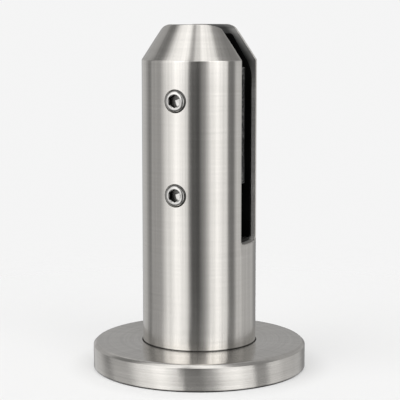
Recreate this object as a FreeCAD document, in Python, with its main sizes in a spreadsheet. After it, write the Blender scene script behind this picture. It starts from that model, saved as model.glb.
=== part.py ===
import FreeCAD, Part
import math
import os
import Sketcher

# Round glass spigot: a slotted stainless post on a bolted flange, with a lift-off cover ring,
# two clamp screws, a clamp plate and rubber pads for the edge of a glass panel.
# The post stands on Z with its foot at the origin, the glass runs along X, the screws face -Y.

# Driving dimensions, in millimetres
DIMENSIONS = (
    ("post_dia", 50.0),
    ("total_height", 151.0),
    ("cone_height", 15.2),
    ("top_dia", 30.4),
    ("slot_width", 16.0),
    ("slot_corner", 1.5),
    ("lead_in_width", 4.0),
    ("lead_in_depth", 2.2),
    ("edge_break", 0.4),
    ("hole_edge_break", 0.2),
    ("flange_thickness", 8.0),
    ("flange_root", 1.0),
    ("flange_edge", 1.0),
    ("anchor_hole_dia", 9.0),
    ("anchor_sink_dia", 16.4),
    ("anchor_land", 1.3),
    ("anchor_count", 4),
    ("ring_side_gap", 1.0),
    ("ring_head_room", 2.0),
    ("ring_wall", 2.0),
    ("ring_top", 2.0),
    ("ring_chamfer", 1.5),
    ("ring_foot_break", 0.5),
    ("ring_clearance", 0.3),
    ("screw_dia", 10.0),
    ("screw_length", 20.0),
    ("screw_fit", 0.07),
    ("screw_face_chamfer", 1.1),
    ("screw_tip_chamfer", 1.5),
    ("socket_width", 5.0),
    ("socket_depth", 5.0),
    ("socket_lead", 0.2),
    ("upper_screw_drop", 16.8),
    ("screw_spacing", 40.0),
    ("lower_screw_rise", 22.0),
    ("plate_thickness", 2.8),
    ("plate_gap", 0.2),
    ("plate_setback", 0.3),
    ("plate_top_drop", 2.8),
    ("plate_shoulder_rise", 4.5),
    ("plate_edge", 2.3),
    ("tongue_width", 26.0),
    ("seat_depth", 1.5),
    ("seat_clearance", 0.2),
    ("clamp_pad_thickness", 1.0),
    ("clamp_pad_inset", 0.3),
    ("fixed_pad_thickness", 1.8),
    ("fixed_pad_margin", 2.6),
    ("base_pad_thickness", 1.0),
    ("base_pad_setback", 2.2),
    ("pad_clearance", 0.3),
)

# Heights and half widths that several pieces share, as expressions on the sheet
POST_R = "(Sizes.post_dia / 2)"
TOP_R = "(Sizes.top_dia / 2)"
HEIGHT = "Sizes.total_height"
CONE_Z = "(Sizes.total_height - Sizes.cone_height)"
SLOT_HALF = "(Sizes.slot_width / 2)"
UPPER_SCREW_Z = f"({CONE_Z} - Sizes.upper_screw_drop)"
LOWER_SCREW_Z = f"({UPPER_SCREW_Z} - Sizes.screw_spacing)"
FLOOR_Z = f"({LOWER_SCREW_Z} - Sizes.lower_screw_rise)"
LEAD_IN_Z = "(Sizes.total_height - Sizes.lead_in_depth)"
MOUTH_HALF = f"sqrt({POST_R} ^ 2 - {SLOT_HALF} ^ 2)"

FLANGE_R = f"({POST_R} + Sizes.anchor_sink_dia + 2 * Sizes.anchor_land)"
ANCHOR_R = f"(({POST_R} + {FLANGE_R}) / 2)"

RING_INNER_R = f"({FLANGE_R} + Sizes.ring_side_gap)"
RING_R = f"({RING_INNER_R} + Sizes.ring_wall)"
RING_BORE_R = f"({POST_R} + Sizes.ring_clearance)"
RING_ROOF_Z = "(Sizes.flange_thickness + Sizes.ring_head_room)"
RING_TOP_Z = f"({RING_ROOF_Z} + Sizes.ring_top)"

PLATE_BACK = f"({SLOT_HALF} - Sizes.plate_gap)"
PLATE_FACE = f"({PLATE_BACK} - Sizes.plate_thickness)"
PLATE_HALF = f"({MOUTH_HALF} - Sizes.plate_setback)"
PLATE_TOP_Z = f"({CONE_Z} - Sizes.plate_top_drop)"
SHOULDER_Z = f"({LOWER_SCREW_Z} + Sizes.plate_shoulder_rise)"
SEAT_R = "(Sizes.screw_dia / 2 + Sizes.seat_clearance)"
TONGUE_HALF = "(Sizes.tongue_width / 2)"
TONGUE_Z = f"({LOWER_SCREW_Z} - {SEAT_R} - Sizes.plate_edge)"

SCREW_R = "(Sizes.screw_dia / 2 - Sizes.screw_fit)"
SCREW_TIP = f"({PLATE_BACK} - Sizes.seat_depth)"
SCREW_FACE = f"({SCREW_TIP} + Sizes.screw_length)"
SOCKET_R = "(Sizes.socket_width / sqrt(3))"
SOCKET_LEAD_R = f"({SOCKET_R} + Sizes.socket_lead)"

FIXED_PAD_TOP_Z = f"({LEAD_IN_Z} - Sizes.pad_clearance)"
CONE_TAPER = f"(({POST_R} - {TOP_R}) / Sizes.cone_height)"
FIXED_PAD_TOP_R = f"({TOP_R} + ({HEIGHT} - {FIXED_PAD_TOP_Z}) * {CONE_TAPER})"
FIXED_PAD_TOP_HALF = f"(sqrt({FIXED_PAD_TOP_R} ^ 2 - {SLOT_HALF} ^ 2) - Sizes.fixed_pad_margin)"
FIXED_PAD_HALF = f"({MOUTH_HALF} - Sizes.fixed_pad_margin)"
FIXED_PAD_FOOT_Z = f"({FLOOR_Z} + Sizes.slot_corner + Sizes.pad_clearance)"

HEX_CORNERS = 6
FULL_TURN = 360
SINK_ANGLE = 90
ANCHOR_START_ANGLE = 45
SOCKET_LEAD_ANGLE = 30
NEAR = 1e-4

doc = FreeCAD.newDocument("RoundGlassSpigot")


def fill_sheet():
    """Write the driving dimensions, each with its alias."""
    sheet = doc.addObject("Spreadsheet::Sheet", "Sizes")
    for row, (name, value) in enumerate(DIMENSIONS, start=1):
        sheet.set(f"A{row}", name)
        sheet.set(f"B{row}", str(value))
        sheet.setAlias(f"B{row}", name)
    doc.recompute()
    return sheet


def size(expression):
    """Work out an expression on the sheet, in millimetres."""
    return float(sizes.evalExpression(expression))


def new_body(label):
    """Start a piece whose label names its file."""
    body = doc.addObject("PartDesign::Body", label)
    body.Label = label
    return body


def new_sketch(body, name, role, offset="0"):
    """Start a sketch on one of the body's own origin planes, moved along its normal."""
    plane = next(item for item in body.Origin.OriginFeatures if item.Role == role)
    sketch = body.newObject("Sketcher::SketchObject", name)
    sketch.AttachmentSupport = [(plane, "")]
    sketch.MapMode = "FlatFace"
    sketch.setExpression("AttachmentOffset.Base.z", offset)
    return sketch


def place_point(sketch, curve, end, name, place):
    """Hold one point of a sketch at a place given by two expressions."""
    for axis, expression in zip("XY", place):
        rule = Sketcher.Constraint(f"Distance{axis}", -1, 1, curve, end, size(expression))
        number = sketch.addConstraint(rule)
        label = f"{name}_{axis.lower()}"
        sketch.renameConstraint(number, label)
        sketch.setExpression(f"Constraints.{label}", expression)


def draw_outline(sketch, points):
    """Draw a closed outline of straight lines through points given as expressions."""
    spots = [FreeCAD.Vector(size(x), size(y), 0) for x, y in points]
    count = len(points)
    for i, spot in enumerate(spots):
        sketch.addGeometry(Part.LineSegment(spot, spots[(i + 1) % count]))
    for i in range(count):
        sketch.addConstraint(Sketcher.Constraint("Coincident", i, 2, (i + 1) % count, 1))
    for i, point in enumerate(points):
        place_point(sketch, i, 1, f"corner{i}", point)


def draw_circles(sketch, radius, centres):
    """Draw circles of one radius at centres given as expressions."""
    for i, (x, y) in enumerate(centres):
        centre = FreeCAD.Vector(size(x), size(y), 0)
        circle = sketch.addGeometry(Part.Circle(centre, FreeCAD.Vector(0, 0, 1), size(radius)))
        place_point(sketch, circle, 3, f"centre{i}", (x, y))
        number = sketch.addConstraint(Sketcher.Constraint("Radius", circle, size(radius)))
        sketch.renameConstraint(number, f"radius{i}")
        sketch.setExpression(f"Constraints.radius{i}", radius)


def mirrored(points):
    """Add the mirror image of a half outline across the sketch's upright axis."""
    return points + [(f"-{x}", y) for x, y in reversed(points)]


def turn(body, name, kind, sketch):
    """Revolve a sketch about its own upright axis, to add or to cut."""
    feature = body.newObject(f"PartDesign::{kind}", name)
    feature.Profile = sketch
    feature.ReferenceAxis = (sketch, ["V_Axis"])
    feature.Angle = FULL_TURN
    doc.recompute()
    return feature


def pad(body, name, sketch, length, reverse=False):
    """Thicken a sketch by a length given as an expression."""
    feature = body.newObject("PartDesign::Pad", name)
    feature.Profile = sketch
    feature.Reversed = reverse
    feature.setExpression("Length", length)
    doc.recompute()
    return feature


def pocket(body, name, sketch, length=None, reverse=False, both_ways=False):
    """Cut a sketch into the body, right through where no length is given."""
    before = body.Shape.Volume
    feature = body.newObject("PartDesign::Pocket", name)
    feature.Profile = sketch
    feature.Reversed = reverse
    feature.Midplane = both_ways
    if length is None:
        feature.Type = "ThroughAll"
    else:
        feature.setExpression("Length", length)
    doc.recompute()
    if body.Shape.Volume >= before - NEAR:
        raise RuntimeError(f"{name} cut nothing")
    return feature


def edges_where(shape, test):
    """Name the edges whose midpoint passes a test."""
    names = []
    for number, edge in enumerate(shape.Edges, start=1):
        middle = edge.valueAt((edge.FirstParameter + edge.LastParameter) / 2)
        if test(middle):
            names.append(f"Edge{number}")
    return names


def same(one, other):
    """Tell whether two lengths agree."""
    return abs(one - other) < NEAR


def dress_edges(body, name, kind, amount, expression, test):
    """Fillet or chamfer the edges that pass a test, by the radius or size that an expression gives."""
    base = body.Tip
    feature = body.newObject(f"PartDesign::{kind}", name)
    feature.Base = (base, edges_where(base.Shape, test))
    feature.setExpression(amount, expression)
    doc.recompute()
    return feature


def turn_post(body):
    """Turn the post, its cone and its flange as one piece, with a rounded root."""
    profile = new_sketch(body, "post_profile", "XZ_Plane")
    draw_outline(profile, [
        ("0", "0"),
        (FLANGE_R, "0"),
        (FLANGE_R, "(Sizes.flange_thickness - Sizes.flange_edge)"),
        (f"({FLANGE_R} - Sizes.flange_edge)", "Sizes.flange_thickness"),
        (POST_R, "Sizes.flange_thickness"),
        (POST_R, CONE_Z),
        (TOP_R, HEIGHT),
        ("0", HEIGHT),
    ])
    turn(body, "post_turning", "Revolution", profile)
    flange_top = size("Sizes.flange_thickness")
    radius = size(POST_R)

    def at_root(middle):
        return same(middle.z, flange_top) and same(math.hypot(middle.x, middle.y), radius)

    dress_edges(body, "flange_root_fillet", "Fillet", "Radius", "Sizes.flange_root", at_root)


def cut_slot(body):
    """Cut the glass slot right through, with a flared mouth above and rounded corners at its floor."""
    lead_half = f"({SLOT_HALF} + Sizes.lead_in_width)"
    above_top = f"({HEIGHT} + Sizes.lead_in_depth)"
    outline = new_sketch(body, "slot_outline", "YZ_Plane")
    draw_outline(outline, mirrored([
        (SLOT_HALF, FLOOR_Z),
        (SLOT_HALF, LEAD_IN_Z),
        (lead_half, HEIGHT),
        (lead_half, above_top),
    ]))
    pocket(body, "glass_slot", outline, both_ways=True)
    floor_height = size(FLOOR_Z)
    slot_half = size(SLOT_HALF)

    def at_floor_corner(middle):
        return same(middle.x, 0) and same(abs(middle.y), slot_half) and same(middle.z, floor_height)

    dress_edges(body, "slot_corner_fillet", "Fillet", "Radius", "Sizes.slot_corner", at_floor_corner)


def tap_front_jaw(body):
    """Cut the two screw holes through the front jaw."""
    circles = new_sketch(body, "tapped_hole_circles", "XZ_Plane")
    draw_circles(circles, "(Sizes.screw_dia / 2)", [("0", UPPER_SCREW_Z), ("0", LOWER_SCREW_Z)])
    pocket(body, "tapped_holes", circles, reverse=True)


def drill_flange(body):
    """Drill countersunk anchor holes through the flange, evenly round the post."""
    centre = new_sketch(body, "anchor_centre", "XY_Plane", "Sizes.flange_thickness")
    diagonal = f"({ANCHOR_R} * cos({ANCHOR_START_ANGLE}))"
    draw_circles(centre, "(Sizes.anchor_hole_dia / 2)", [(diagonal, diagonal)])
    doc.recompute()
    hole = body.newObject("PartDesign::Hole", "anchor_hole")
    hole.Profile = centre
    doc.recompute()
    hole.DepthType = "ThroughAll"
    hole.setExpression("Diameter", "Sizes.anchor_hole_dia")
    hole.HoleCutType = "Countersink"
    hole.HoleCutCustomValues = True
    hole.setExpression("HoleCutDiameter", "Sizes.anchor_sink_dia")
    hole.HoleCutCountersinkAngle = SINK_ANGLE
    doc.recompute()
    circle = body.newObject("PartDesign::PolarPattern", "anchor_holes")
    circle.Originals = [hole]
    circle.Axis = (centre, ["N_Axis"])
    circle.Angle = FULL_TURN
    circle.setExpression("Occurrences", "Sizes.anchor_count")
    body.Tip = circle
    doc.recompute()


def break_skin_edges(body):
    """Take the sharpness off every edge that the slot and the screw holes leave in the turned skin."""
    radius = size(POST_R)
    cone_foot = size(CONE_Z)
    floor_height = size(FLOOR_Z)
    taper = size(CONE_TAPER)

    hole_radius = size("Sizes.screw_dia / 2")
    hole_heights = [size(UPPER_SCREW_Z), size(LOWER_SCREW_Z)]

    def on_skin(middle):
        skin = radius - max(0, middle.z - cone_foot) * taper
        in_slot_reach = middle.z > floor_height - NEAR and not same(middle.z, cone_foot)
        return in_slot_reach and same(math.hypot(middle.x, middle.y), skin)

    def at_hole(middle):
        return any(same(math.hypot(middle.x, middle.z - height), hole_radius) for height in hole_heights)

    def at_slot_mouth(middle):
        return on_skin(middle) and not at_hole(middle)

    def at_hole_rim(middle):
        return on_skin(middle) and at_hole(middle)

    dress_edges(body, "mouth_edge_break", "Chamfer", "Size", "Sizes.edge_break", at_slot_mouth)
    dress_edges(body, "hole_edge_break", "Chamfer", "Size", "Sizes.hole_edge_break", at_hole_rim)


def make_post():
    """The post and its flange, turned as one piece, then slotted, tapped and drilled."""
    body = new_body("spigot_post")
    turn_post(body)
    cut_slot(body)
    tap_front_jaw(body)
    drill_flange(body)
    break_skin_edges(body)
    return body


def make_cover_ring():
    """The hollow cover ring that hides the flange and its anchors."""
    body = new_body("base_cover_ring")
    foot = "Sizes.ring_foot_break"
    chamfer = "Sizes.ring_chamfer"
    profile = new_sketch(body, "ring_profile", "XZ_Plane")
    draw_outline(profile, [
        (RING_INNER_R, "0"),
        (f"({RING_R} - {foot})", "0"),
        (RING_R, foot),
        (RING_R, f"({RING_TOP_Z} - {chamfer})"),
        (f"({RING_R} - {chamfer})", RING_TOP_Z),
        (RING_BORE_R, RING_TOP_Z),
        (RING_BORE_R, RING_ROOF_Z),
        (RING_INNER_R, RING_ROOF_Z),
    ])
    turn(body, "ring_turning", "Revolution", profile)
    return body


def make_clamp_plate():
    """The loose plate behind the front jaw, stepped below, with a seat for each screw tip."""
    body = new_body("clamp_plate")
    outline = new_sketch(body, "plate_outline", "XZ_Plane", PLATE_BACK)
    draw_outline(outline, mirrored([
        (TONGUE_HALF, TONGUE_Z),
        (TONGUE_HALF, SHOULDER_Z),
        (PLATE_HALF, SHOULDER_Z),
        (PLATE_HALF, PLATE_TOP_Z),
    ]))
    pad(body, "plate_blank", outline, "Sizes.plate_thickness", reverse=True)
    seats = new_sketch(body, "seat_circles", "XZ_Plane", PLATE_BACK)
    draw_circles(seats, SEAT_R, [("0", UPPER_SCREW_Z), ("0", LOWER_SCREW_Z)])
    pocket(body, "screw_seats", seats, "Sizes.seat_depth")
    return body


def make_clamp_pad():
    """The rubber sheet on the glass side of the clamp plate."""
    body = new_body("clamp_pad")
    inset = "Sizes.clamp_pad_inset"
    outline = new_sketch(body, "clamp_pad_outline", "XZ_Plane", PLATE_FACE)
    draw_outline(outline, mirrored([
        (f"({TONGUE_HALF} - {inset})", f"({TONGUE_Z} + {inset})"),
        (f"({TONGUE_HALF} - {inset})", f"({SHOULDER_Z} + {inset})"),
        (f"({PLATE_HALF} - {inset})", f"({SHOULDER_Z} + {inset})"),
        (f"({PLATE_HALF} - {inset})", f"({PLATE_TOP_Z} - {inset})"),
    ]))
    pad(body, "clamp_pad_sheet", outline, "Sizes.clamp_pad_thickness", reverse=True)
    return body


def make_fixed_pad():
    """The rubber sheet on the back jaw, cut to follow the jaw's outline."""
    body = new_body("fixed_pad")
    outline = new_sketch(body, "fixed_pad_outline", "XZ_Plane", f"-{SLOT_HALF}")
    draw_outline(outline, mirrored([
        (FIXED_PAD_HALF, FIXED_PAD_FOOT_Z),
        (FIXED_PAD_HALF, CONE_Z),
        (FIXED_PAD_TOP_HALF, FIXED_PAD_TOP_Z),
    ]))
    pad(body, "fixed_pad_sheet", outline, "Sizes.fixed_pad_thickness")
    return body


def make_base_pad():
    """The rubber strip on the slot floor that the glass stands on."""
    body = new_body("base_pad")
    half_length = f"({MOUTH_HALF} - Sizes.base_pad_setback)"
    half_width = f"({SLOT_HALF} - Sizes.slot_corner - Sizes.pad_clearance)"
    outline = new_sketch(body, "base_pad_outline", "XY_Plane", FLOOR_Z)
    draw_outline(outline, mirrored([
        (half_length, f"-{half_width}"),
        (half_length, half_width),
    ]))
    pad(body, "base_pad_strip", outline, "Sizes.base_pad_thickness")
    return body


def make_screw(label, height):
    """A set screw that lies on Y at a height: turned blank, then a hexagon socket."""
    body = new_body(label)
    profile = new_sketch(body, f"{label}_profile", "XY_Plane")
    draw_outline(profile, [
        ("0", f"-{SCREW_FACE}"),
        (f"({SCREW_R} - Sizes.screw_face_chamfer)", f"-{SCREW_FACE}"),
        (SCREW_R, f"(Sizes.screw_face_chamfer - {SCREW_FACE})"),
        (SCREW_R, f"(-{SCREW_TIP} - Sizes.screw_tip_chamfer)"),
        (f"({SCREW_R} - Sizes.screw_tip_chamfer)", f"-{SCREW_TIP}"),
        ("0", f"-{SCREW_TIP}"),
    ])
    turn(body, f"{label}_blank", "Revolution", profile)

    hexagon = new_sketch(body, f"{label}_hexagon", "XZ_Plane", SCREW_FACE)
    angles = [FULL_TURN * corner / HEX_CORNERS for corner in range(HEX_CORNERS)]
    draw_outline(hexagon, [(f"({SOCKET_R} * sin({a}))", f"({SOCKET_R} * cos({a}))") for a in angles])
    pocket(body, f"{label}_socket", hexagon, "Sizes.socket_depth")

    lead = new_sketch(body, f"{label}_socket_lead", "XY_Plane")
    draw_outline(lead, [
        ("0", f"-{SCREW_FACE}"),
        (SOCKET_LEAD_R, f"-{SCREW_FACE}"),
        ("0", f"({SOCKET_LEAD_R} * tan({SOCKET_LEAD_ANGLE}) - {SCREW_FACE})"),
    ])
    turn(body, f"{label}_lead", "Groove", lead)
    body.setExpression("Placement.Base.z", height)
    doc.recompute()
    return body


def check(pieces):
    """Stop if any object failed or any piece has no valid solid."""
    for item in doc.Objects:
        if "Invalid" in item.State or "Error" in item.State:
            raise RuntimeError(f"{item.Name} failed: {item.State}")
    for piece in pieces:
        if piece.Shape.isNull() or not piece.Shape.isValid():
            raise RuntimeError(f"{piece.Label} has no valid shape")
        if len(piece.Shape.Solids) != 1:
            raise RuntimeError(f"{piece.Label} is not one solid")


def export(pieces):
    """Write each piece to its own file."""
    os.makedirs("parts", exist_ok=True)
    for piece in pieces:
        piece.Shape.exportStep(f"parts/{piece.Label}.step")
        box = piece.Shape.BoundBox
        print(piece.Label, round(piece.Shape.Volume), round(box.ZMin, 2), round(box.ZMax, 2))


sizes = fill_sheet()
all_pieces = [
    make_post(),
    make_cover_ring(),
    make_clamp_plate(),
    make_clamp_pad(),
    make_fixed_pad(),
    make_base_pad(),
    make_screw("upper_clamp_screw", UPPER_SCREW_Z),
    make_screw("lower_clamp_screw", LOWER_SCREW_Z),
]
doc.recompute()
check(all_pieces)
export(all_pieces)
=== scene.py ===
"""Looks of a round glass spigot: slotted post, cover ring, clamp screws, clamp plate and rubber pads."""
import logging
import math
from dataclasses import dataclass
from enum import Enum
from typing import Sequence, Union

import bmesh
import bpy
from bpy.types import Material, Object
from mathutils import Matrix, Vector, noise


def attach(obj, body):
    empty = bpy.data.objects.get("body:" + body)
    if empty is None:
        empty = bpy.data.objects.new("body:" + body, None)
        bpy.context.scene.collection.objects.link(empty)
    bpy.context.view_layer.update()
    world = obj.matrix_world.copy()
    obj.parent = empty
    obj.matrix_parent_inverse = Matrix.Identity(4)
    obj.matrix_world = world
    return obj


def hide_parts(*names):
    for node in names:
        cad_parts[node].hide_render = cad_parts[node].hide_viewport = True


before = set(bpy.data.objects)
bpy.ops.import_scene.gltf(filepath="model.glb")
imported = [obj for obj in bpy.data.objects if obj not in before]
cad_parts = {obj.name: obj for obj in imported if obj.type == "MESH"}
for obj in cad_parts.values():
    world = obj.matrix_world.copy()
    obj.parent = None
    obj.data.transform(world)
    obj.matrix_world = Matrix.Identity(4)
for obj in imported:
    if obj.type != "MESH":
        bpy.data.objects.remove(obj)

LOG = logging.getLogger("glass_spigot")
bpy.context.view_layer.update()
MM = 0.001
WELD = 1e-4  # points that lie closer become one, in millimetres
SHARP = 0.6  # the turn from which a sheet's edge is softened, in radians
FULL_TURN = 2 * math.pi
CIRCLE = 64
FINE_CIRCLE = 96
EDGE_STEPS = 3
MIDDLE = 0.5  # of noise that runs from 0 to 1
CLEAR = 1.0  # how far a tool reaches past what it cuts, in millimetres
SCREW_HEIGHTS = (119.0, 79.0)

Point = tuple[float, float, float]
Pair = tuple[float, float]
Colour = tuple[float, float, float]
Stop = tuple[float, float, float, float]
Value = Union["Signal", float, int, Sequence[float]]
Finishes = Sequence[Material]


class Carving(Enum):
    """How one solid is worked by another."""

    CUT = "DIFFERENCE"
    KEEP = "INTERSECT"


class Paint(Enum):
    """Which finish a face takes, as its place in the list of the post's or the screw's materials."""

    # For the screw, the second and third finishes are darker copies of its steel that paint shade on the
    # threads and in the socket; the post's third finish is the same darker copy, painting shade in the tapped
    # holes.
    TURNED = BRIGHT = 0
    MILLED = DULL = 1
    TAPPED = DEEP = 2


class Signal:
    """One output socket of a shader node that takes part in arithmetic."""

    def __init__(self, graph: "Graph", socket: bpy.types.NodeSocket) -> None:
        """Hold a socket and the graph that it belongs to."""
        self.graph = graph
        self.socket = socket

    def __add__(self, other: Value) -> "Signal":
        """Add a value, on either side."""
        return self.graph.maths("ADD", self, other)

    __radd__ = __add__

    def __sub__(self, other: Value) -> "Signal":
        """Take a value away."""
        return self.graph.maths("SUBTRACT", self, other)

    def __rsub__(self, other: Value) -> "Signal":
        """Take from a value."""
        return self.graph.maths("SUBTRACT", other, self)

    def __mul__(self, other: Value) -> "Signal":
        """Multiply by a value, on either side."""
        return self.graph.maths("MULTIPLY", self, other)

    __rmul__ = __mul__

    def __truediv__(self, other: Value) -> "Signal":
        """Divide by a value."""
        return self.graph.maths("DIVIDE", self, other)

    def __rtruediv__(self, other: Value) -> "Signal":
        """Divide a value."""
        return self.graph.maths("DIVIDE", other, self)

    def __pow__(self, other: Value) -> "Signal":
        """Raise to a power."""
        return self.graph.maths("POWER", self, other)

    def __rpow__(self, other: Value) -> "Signal":
        """Raise a value to this power."""
        return self.graph.maths("POWER", other, self)


@dataclass(frozen=True)
class Grain:
    """Noise of a finish: how fine it is along each axis, how detailed and how rough."""

    scale: Point
    detail: float = 3.0
    roughness: float = 0.6


class Graph:
    """A node tree that is written as expressions."""

    def __init__(self, tree: bpy.types.NodeTree) -> None:
        """Start on an empty tree."""
        self.tree = tree
        tree.nodes.clear()

    def node(self, kind: str, settings: dict | None = None, inputs: dict | None = None,
             output: int | str = 0) -> Signal:
        """Add one node.

        Args:
            kind: The node's type.
            settings: Properties that are set first; stops are a colour ramp's places and levels.
            inputs: Values or signals for the sockets, by name or number.
            output: The socket that is wanted from it.

        Returns:
            The wanted output.
        """
        made = self.tree.nodes.new(kind)
        for name, value in (settings or {}).items():
            if name == "stops":
                self._set_stops(made.color_ramp, value)
            else:
                setattr(made, name, value)
        for key, value in (inputs or {}).items():
            if isinstance(value, Signal):
                self.tree.links.new(value.socket, made.inputs[key])
            else:
                made.inputs[key].default_value = value
        return Signal(self, made.outputs[output] if len(made.outputs) else None)

    @staticmethod
    def _set_stops(ramp: bpy.types.ColorRamp, stops: Sequence[Pair]) -> None:
        """Give a ramp its stops.

        Args:
            ramp: A new ramp.
            stops: The place and the grey level of each stop.
        """
        while len(ramp.elements) < len(stops):
            ramp.elements.new(1.0)
        for element, (place, level) in zip(ramp.elements, stops):
            element.position = place
            element.color = (level, level, level, 1.0)

    def maths(self, operation: str, *terms: Value) -> Signal:
        """Add a Math node."""
        return self.node("ShaderNodeMath", {"operation": operation}, dict(enumerate(terms)))

    def place(self) -> Signal:
        """Give the point on the object, in metres."""
        return self.node("ShaderNodeTexCoord", output="Object")

    def axes(self, vector: Signal) -> list[Signal]:
        """Split a vector into its three numbers."""
        outputs = self.node("ShaderNodeSeparateXYZ", None, {0: vector}).socket.node.outputs
        return [Signal(self, output) for output in outputs]

    def vector(self, x: Value, y: Value, z: Value = 0.0) -> Signal:
        """Join three numbers into a vector."""
        return self.node("ShaderNodeCombineXYZ", None, {0: x, 1: y, 2: z})

    def noise(self, vector: Signal, grain: Grain) -> Signal:
        """Give smooth noise.

        Args:
            vector: Where it is wanted.
            grain: Its scale and its character.

        Returns:
            Noise from 0 to 1.
        """
        place = self.node("ShaderNodeVectorMath", {"operation": "MULTIPLY"}, {0: vector, 1: grain.scale})
        sockets = {"Vector": place, "Scale": 1.0, "Detail": grain.detail, "Roughness": grain.roughness}
        return self.node("ShaderNodeTexNoise", None, sockets)

    def blend(self, share: Value, first: Value, second: Value) -> Signal:
        """Mix two colours.

        Args:
            share: How much there is of the second.
            first: A colour.
            second: Another colour.

        Returns:
            The mixed colour.
        """
        colours = [c if isinstance(c, Signal) else (*c, 1.0) for c in (first, second)]
        settings = {"data_type": "RGBA", "clamp_factor": True}
        return self.node("ShaderNodeMix", settings, {0: share, 6: colours[0], 7: colours[1]}, 2)

    def scaled(self, colour: Signal, factor: Signal) -> Signal:
        """Make a colour lighter or darker."""
        return self.node("ShaderNodeVectorMath", {"operation": "SCALE"}, {0: colour, "Scale": factor})

    def fade(self, value: Signal, start: float, end: float) -> Signal:
        """Give 0 before start, 1 after end and a smooth rise between them."""
        sockets = {"Value": value, "From Min": start, "From Max": end}
        return self.node("ShaderNodeMapRange", {"interpolation_type": "SMOOTHSTEP"}, sockets)

    def bump(self, height: Signal, strength: float, distance: float) -> Signal:
        """Turn a height into a normal."""
        sockets = {"Strength": strength, "Distance": distance, "Height": height}
        return self.node("ShaderNodeBump", None, sockets)


class Finish:
    """A surface that becomes a material of its own name."""

    name: str

    def shader(self, graph: Graph) -> Signal:
        """Give the surface's shader."""
        raise NotImplementedError

    def material(self) -> Material:
        """Build the material.

        Returns:
            The material, with the shader at its output.
        """
        material = bpy.data.materials.new(self.name)
        material.use_nodes = True
        graph = Graph(material.node_tree)
        graph.node("ShaderNodeOutputMaterial", None, {"Surface": self.shader(graph)})
        return material


@dataclass(frozen=True)
class TurnedSteel(Finish):
    """Satin stainless with fine lathe lines round the upright axis, and painted shade in a line just above
    the ring and along the foot.
    """

    name: str = "turned_stainless"
    light: Colour = (0.69, 0.668, 0.635)
    dark: Colour = (0.625, 0.605, 0.573)
    tones: Pair = (0.3, 0.7)
    roughness: float = 0.165
    unevenness: float = 0.06
    anisotropy: float = 0.9
    grain_turn: float = 0.25
    face_lines: float = 0.73
    coarse: Grain = Grain((14.0, 14.0, 1100.0))
    fine: Grain = Grain((40.0, 40.0, 5200.0), 2.0, 0.5)
    cloud: Grain = Grain((38.0,) * 3, roughness=0.55)
    shares: Point = (0.33, 0.5, 0.17)  # of the coarse lines, the fine ones and the cloud
    relief: Pair = (0.22, 0.00002)
    streaks: Grain = Grain((18.0, 18.0, 6.0))
    streak: float = 0.36
    streak_fall: Pair = (0.0468, 0.0458)
    ring_grain: float = 0.2
    ring_middle: float = 0.9
    ring_rise: Pair = (0.0252, 0.0262)
    # Painted shade: a dark line on the post just above the ring and one along the foot, for the shade in the
    # gap and at the floor.
    seam_shade: Colour = (0.10, 0.097, 0.092)
    seam_height: float = 0.0121
    seam_fall: Pair = (0.00035, 0.00014)
    seam_reach: Pair = (0.0252, 0.0251)
    foot_fall: Pair = (0.0010, 0.0005)

    def shader(self, graph: Graph) -> Signal:
        """Shade the steel.

        Args:
            graph: The material's graph.

        Returns:
            The shader.
        """
        place = graph.place()
        x, y, z = graph.axes(place)
        radius = (x * x + y * y) ** 0.5
        lines = graph.vector(x, y, z + self.face_lines * radius)
        coarse, fine = graph.noise(lines, self.coarse), graph.noise(lines, self.fine)
        cloud = graph.noise(place, self.cloud)
        tone = coarse * self.shares[0] + fine * self.shares[1] + cloud * self.shares[2]
        clean = graph.blend(graph.fade(tone, *self.tones), self.dark, self.light)
        streaks = graph.noise(graph.vector(x / radius, y / radius, z), self.streaks)
        uneven = 1.0 + (streaks - MIDDLE) * (self.streak * graph.fade(radius, *self.streak_fall))
        on_ring = graph.fade(radius, *self.ring_rise)
        uneven = uneven + (coarse + fine - self.ring_middle) * on_ring * self.ring_grain
        # Mask of the painted shade just above the ring and along the foot.
        off_seam = graph.maths("ABSOLUTE", z - self.seam_height)
        painted_shade = graph.fade(off_seam, *self.seam_fall) * graph.fade(radius, *self.seam_reach)
        painted_shade = graph.maths("MAXIMUM", painted_shade, graph.fade(z, *self.foot_fall))
        return graph.node("ShaderNodeBsdfPrincipled", None, {
            "Base Color": graph.blend(painted_shade, graph.scaled(clean, uneven), self.seam_shade), "Metallic": 1.0,
            "Roughness": self.roughness + (tone - MIDDLE) * self.unevenness,
            "Normal": graph.bump(fine * 0.5 + coarse * 0.5, *self.relief),
            "Anisotropic": self.anisotropy, "Anisotropic Rotation": self.grain_turn,
        })


@dataclass(frozen=True)
class Mottled(Finish):
    """A finish that wanders between two tones, with a fine grain in relief."""

    name: str
    light: Colour
    dark: Colour
    roughness: float
    unevenness: float
    tones: Pair
    fine: Grain
    cloud: Grain
    shares: Pair  # of the fine grain, in the tone and in the roughness
    relief: Pair
    metal: float = 1.0
    specular: float = 0.5

    def shader(self, graph: Graph) -> Signal:
        """Shade the surface.

        Args:
            graph: The material's graph.

        Returns:
            The shader.
        """
        place = graph.place()
        fine, cloud = graph.noise(place, self.fine), graph.noise(place, self.cloud)
        tone, wear = (fine * share + cloud * (1.0 - share) for share in self.shares)
        clean = graph.blend(graph.fade(tone, *self.tones), self.dark, self.light)
        return graph.node("ShaderNodeBsdfPrincipled", None, {
            "Base Color": self.tint(graph, place, clean, cloud), "Metallic": self.metal,
            "Specular IOR Level": self.specular, "Normal": graph.bump(fine, *self.relief),
            "Roughness": self.roughness + (wear - MIDDLE) * self.unevenness,
        })

    def tint(self, graph: Graph, place: Signal, clean: Signal, cloud: Signal) -> Signal:
        """Leave the clean colour as it is."""
        return clean


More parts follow.
